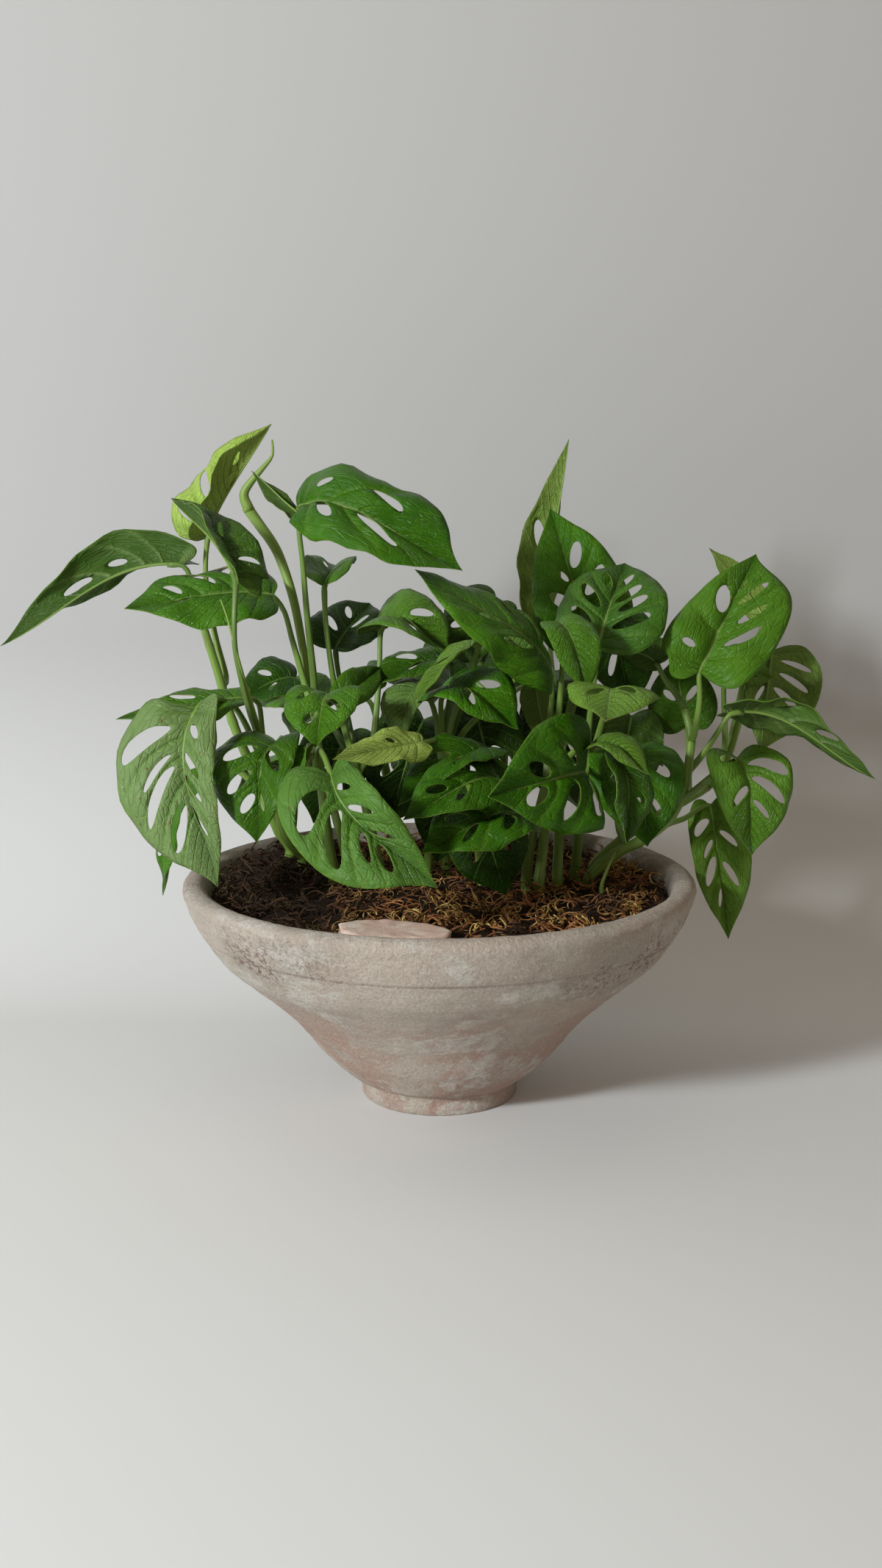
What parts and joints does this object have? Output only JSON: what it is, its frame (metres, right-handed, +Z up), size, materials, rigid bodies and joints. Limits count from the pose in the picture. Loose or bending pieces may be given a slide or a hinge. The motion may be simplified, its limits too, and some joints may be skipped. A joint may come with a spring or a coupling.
{
  "type": "potted swiss cheese vine (monstera adansonii)",
  "caption": "Swiss cheese vine with perforated leaves on slender stalks, growing in soil in a wide, footed, aged clay bowl with a clay shard.",
  "frame": {"origin": "on the bowl's axis, at the underside of its foot", "axes": "+Z up along the bowl's axis; -Y is the pictured side; +X is to the right as seen from there"},
  "size_m": [0.6514, 0.4102, 0.4982],
  "materials": {
    "aged_clay": "weathered, lime-washed, sandy",
    "soil_and_moss": "loose brown fibres over dark soil",
    "shard_clay": "matt broken clay",
    "shoot_left_back_green": "satin leaf green",
    "shoot_left_front_green": "satin leaf green",
    "shoot_left_mid_green": "satin leaf green",
    "shoot_centre_left_green": "satin leaf green",
    "shoot_centre_green": "satin leaf green",
    "shoot_front_green": "satin leaf green",
    "shoot_right_front_green": "satin leaf green",
    "shoot_right_mid_green": "satin leaf green",
    "shoot_right_thin_green": "satin leaf green",
    "shoot_right_green": "satin leaf green",
    "shoot_right_back_green": "satin leaf green",
    "shoot_back_left_green": "satin leaf green",
    "shoot_back_right_green": "satin leaf green",
    "shoot_sprout_green": "satin leaf green"
  },
  "bodies": {
    "root": {"bowl": "aged_clay", "soil": "soil_and_moss", "shard": "shard_clay", "shoot_left_back": "shoot_left_back_green", "shoot_left_front": "shoot_left_front_green", "shoot_left_mid": "shoot_left_mid_green", "shoot_centre_left": "shoot_centre_left_green", "shoot_centre": "shoot_centre_green", "shoot_front": "shoot_front_green", "shoot_right_front": "shoot_right_front_green", "shoot_right_mid": "shoot_right_mid_green", "shoot_right_thin": "shoot_right_thin_green", "shoot_right": "shoot_right_green", "shoot_right_back": "shoot_right_back_green", "shoot_back_left": "shoot_back_left_green", "shoot_back_right": "shoot_back_right_green", "shoot_sprout": "shoot_sprout_green"}
  },
  "joints": []
}
